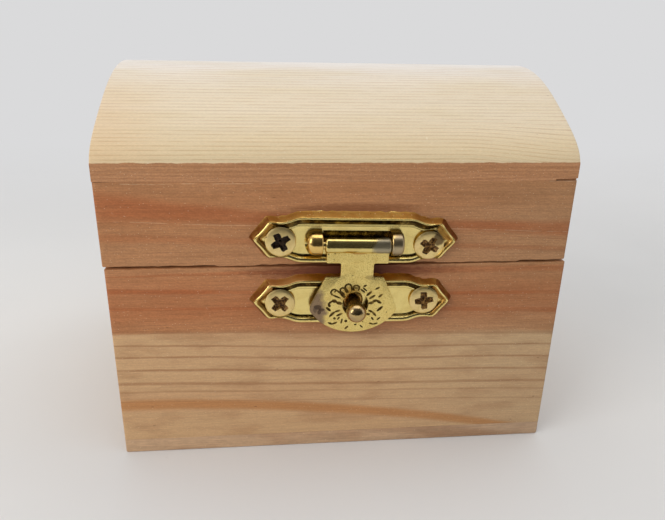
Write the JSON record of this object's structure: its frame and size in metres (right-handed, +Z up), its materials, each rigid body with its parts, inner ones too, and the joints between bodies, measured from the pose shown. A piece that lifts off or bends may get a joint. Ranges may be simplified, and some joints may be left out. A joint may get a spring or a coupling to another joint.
{
  "type": "treasure chest box",
  "caption": "Small pine treasure chest box with an arched hinged lid, thin bottom panel, and a pressed brass hasp that drops over a stud on the front.",
  "frame": {"origin": "centre of the wooden box's underside, on the surface it stands on", "axes": "+X to the right along the front, +Y from the hasp side to the hinge side, +Z up"},
  "size_m": [0.0702, 0.0642, 0.06],
  "materials": {
    "pine": "raw sanded pine, unfinished",
    "pine_top": "raw sanded pale pine, unfinished",
    "pine_bottom": "raw thin pine board, unfinished",
    "hasp_brass": "bright brass plating, lightly worn",
    "screw_brass": "brass-plated screws, matt head",
    "hinge_brass": "bright brass plating"
  },
  "bodies": {
    "base": {"bottom_panel": "pine_bottom", "base_front_panel": "pine", "base_back_panel": "pine", "base_left_panel": "pine", "base_right_panel": "pine", "hasp_lower_plate": "hasp_brass", "hasp_stud": "hasp_brass", "hasp_screw_lower_left": "screw_brass", "hasp_screw_lower_right": "screw_brass", "left_hinge_base_leaf": "hinge_brass", "left_hinge_pin": "hinge_brass", "left_hinge_base_screws": "screw_brass", "right_hinge_base_leaf": "hinge_brass", "right_hinge_pin": "hinge_brass", "right_hinge_base_screws": "screw_brass"},
    "lid": {"lid_front_panel": "pine", "lid_back_panel": "pine", "lid_left_end": "pine", "lid_right_end": "pine", "lid_top_panel": "pine_top", "hasp_upper_plate": "hasp_brass", "hasp_pin": "hasp_brass", "hasp_screw_upper_left": "screw_brass", "hasp_screw_upper_right": "screw_brass", "left_hinge_lid_leaf": "hinge_brass", "left_hinge_lid_screws": "screw_brass", "right_hinge_lid_leaf": "hinge_brass", "right_hinge_lid_screws": "screw_brass"},
    "tongue": {"hasp_tongue": "hasp_brass"}
  },
  "joints": [
    {"name": "lid_hinge", "type": "hinge", "parent": "base", "child": "lid", "pos_m": [0, 0.0289, 0.0325], "axis": [-1, 0, 0], "range_deg": [0, 180]},
    {"name": "hasp_swing", "type": "hinge", "parent": "lid", "child": "tongue", "pos_m": [0.00169, -0.02945, 0.03625], "axis": [-0.9997, 0, 0.0227], "range_deg": [0, 170]}
  ]
}
